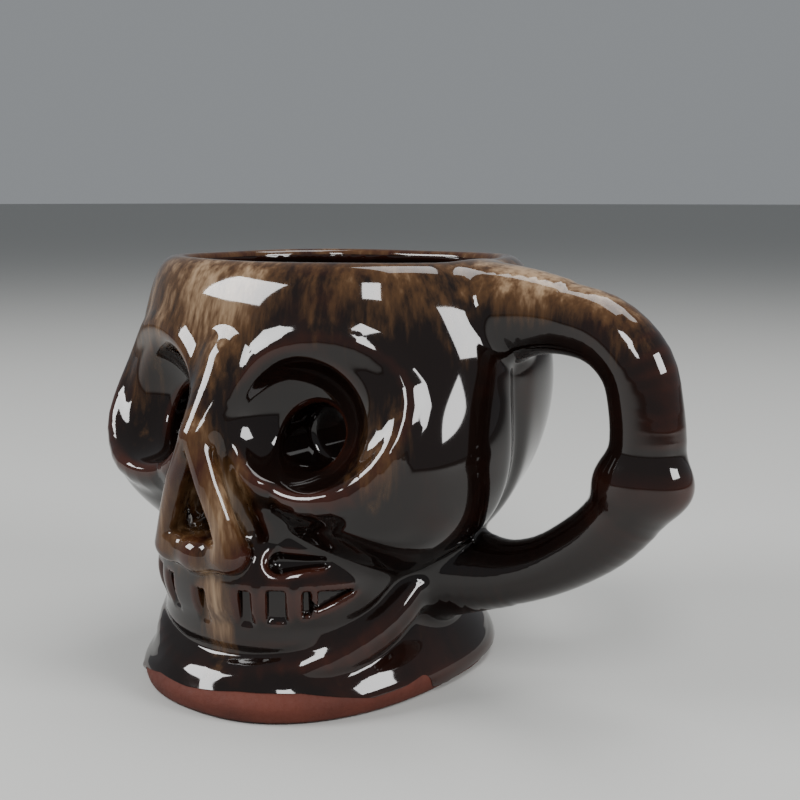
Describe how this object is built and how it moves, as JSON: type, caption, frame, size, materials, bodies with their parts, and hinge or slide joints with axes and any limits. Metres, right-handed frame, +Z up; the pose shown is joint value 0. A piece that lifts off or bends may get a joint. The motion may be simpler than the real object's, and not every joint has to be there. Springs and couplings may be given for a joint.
{
  "type": "skull mug",
  "caption": "Slip-cast ceramic mug shaped like a human skull, with blind eye sockets, a toothed jaw, a bare clay foot and an arm-bone handle.",
  "frame": {"origin": "on the table, in the plane of the foot, below the axis of the mouth", "axes": "+Z up out of the mouth, -Y the way the face looks, +X towards the handle"},
  "size_m": [0.148, 0.1054, 0.1],
  "materials": {
    "terracotta_body": "matte, bare fired red clay",
    "terracotta_handle": "matte, bare fired red clay",
    "slip": "matte, bare fired red clay",
    "outer_glaze": "high gloss, near-black brown with tan streaks from the rim",
    "liner_glaze": "high gloss, dark brown",
    "handle_glaze": "high gloss, near-black brown, mottled tan at the top"
  },
  "bodies": {
    "root": {"skull_body": "terracotta_body", "handle": "terracotta_handle", "upper_slip_joint": "slip", "lower_slip_joint": "slip", "body_glaze": "outer_glaze", "liner_glaze": "liner_glaze", "handle_glaze": "handle_glaze"}
  },
  "joints": []
}
